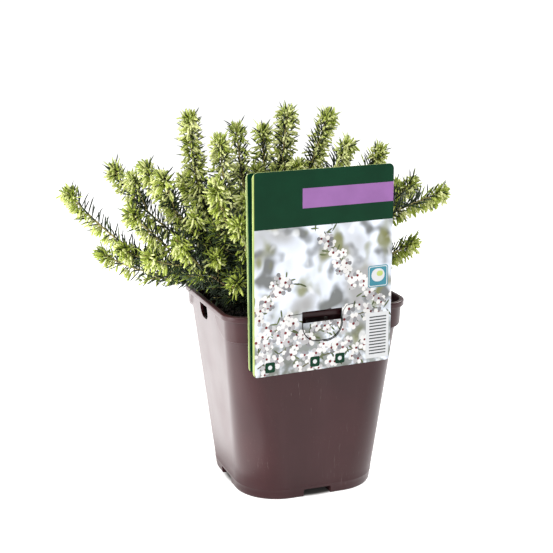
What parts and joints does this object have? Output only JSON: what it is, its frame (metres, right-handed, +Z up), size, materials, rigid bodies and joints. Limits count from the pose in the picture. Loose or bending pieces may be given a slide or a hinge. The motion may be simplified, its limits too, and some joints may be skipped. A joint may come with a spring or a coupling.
{
  "type": "potted winter heath",
  "caption": "Low evergreen heath with upswept needle-clad shoots, in a tapered nursery pot with a folded care card hooked over its rim.",
  "frame": {"origin": "middle of the pot's flat underside", "axes": "+Z up; -Y is the front, where the care card hangs; +X is to the right as one faces the card"},
  "size_m": [0.2578, 0.172, 0.2653],
  "materials": {
    "pot_plastic": "dark maroon injection-moulded plastic with a satin gloss",
    "compost": "dark moist peat-like compost, matt",
    "heath_wood": "thin grey-brown to olive-brown bark",
    "heath_leaf": "lime green young tips over dark green needles",
    "printed_card": "printed plastic sheet, green heading over a pale picture, satin gloss"
  },
  "bodies": {
    "root": {"bough_back_left": "heath_wood", "bough_card_left": "heath_wood", "bough_card_right": "heath_wood", "bough_far_left": "heath_wood", "bough_far_right": "heath_wood", "bough_front_low": "heath_wood", "bough_front_mid": "heath_wood", "bough_front_out": "heath_wood", "bough_front_tall": "heath_wood", "bough_left_low": "heath_wood", "bough_low_left": "heath_wood", "bough_low_right": "heath_wood", "bough_mid_left": "heath_wood", "bough_rear": "heath_wood", "bough_rear_left": "heath_wood", "bough_rear_right": "heath_wood", "bough_right_back": "heath_wood", "bough_right_high": "heath_wood", "bough_right_mid": "heath_wood", "bough_right_near": "heath_wood", "bough_tall_left": "heath_wood", "bough_top": "heath_wood", "bough_top_right": "heath_wood", "bough_upper_back": "heath_wood", "bough_upper_left": "heath_wood", "bough_upper_mid": "heath_wood", "card_back_leaf": "printed_card", "card_front_leaf": "printed_card", "compost": "compost", "crown_stem": "heath_wood", "mass_back_left": "heath_leaf", "mass_card_left": "heath_leaf", "mass_card_right": "heath_leaf", "mass_far_left": "heath_leaf", "mass_far_right": "heath_leaf", "mass_front_low": "heath_leaf", "mass_front_mid": "heath_leaf", "mass_front_out": "heath_leaf", "mass_front_tall": "heath_leaf", "mass_left_low": "heath_leaf", "mass_low_left": "heath_leaf", "mass_low_right": "heath_leaf", "mass_mid_left": "heath_leaf", "mass_rear": "heath_leaf", "mass_rear_left": "heath_leaf", "mass_rear_right": "heath_leaf", "mass_right_back": "heath_leaf", "mass_right_high": "heath_leaf", "mass_right_mid": "heath_leaf", "mass_right_near": "heath_leaf", "mass_tall_left": "heath_leaf", "mass_top": "heath_leaf", "mass_top_right": "heath_leaf", "mass_upper_back": "heath_leaf", "mass_upper_left": "heath_leaf", "mass_upper_mid": "heath_leaf", "pot": "pot_plastic"}
  },
  "joints": []
}
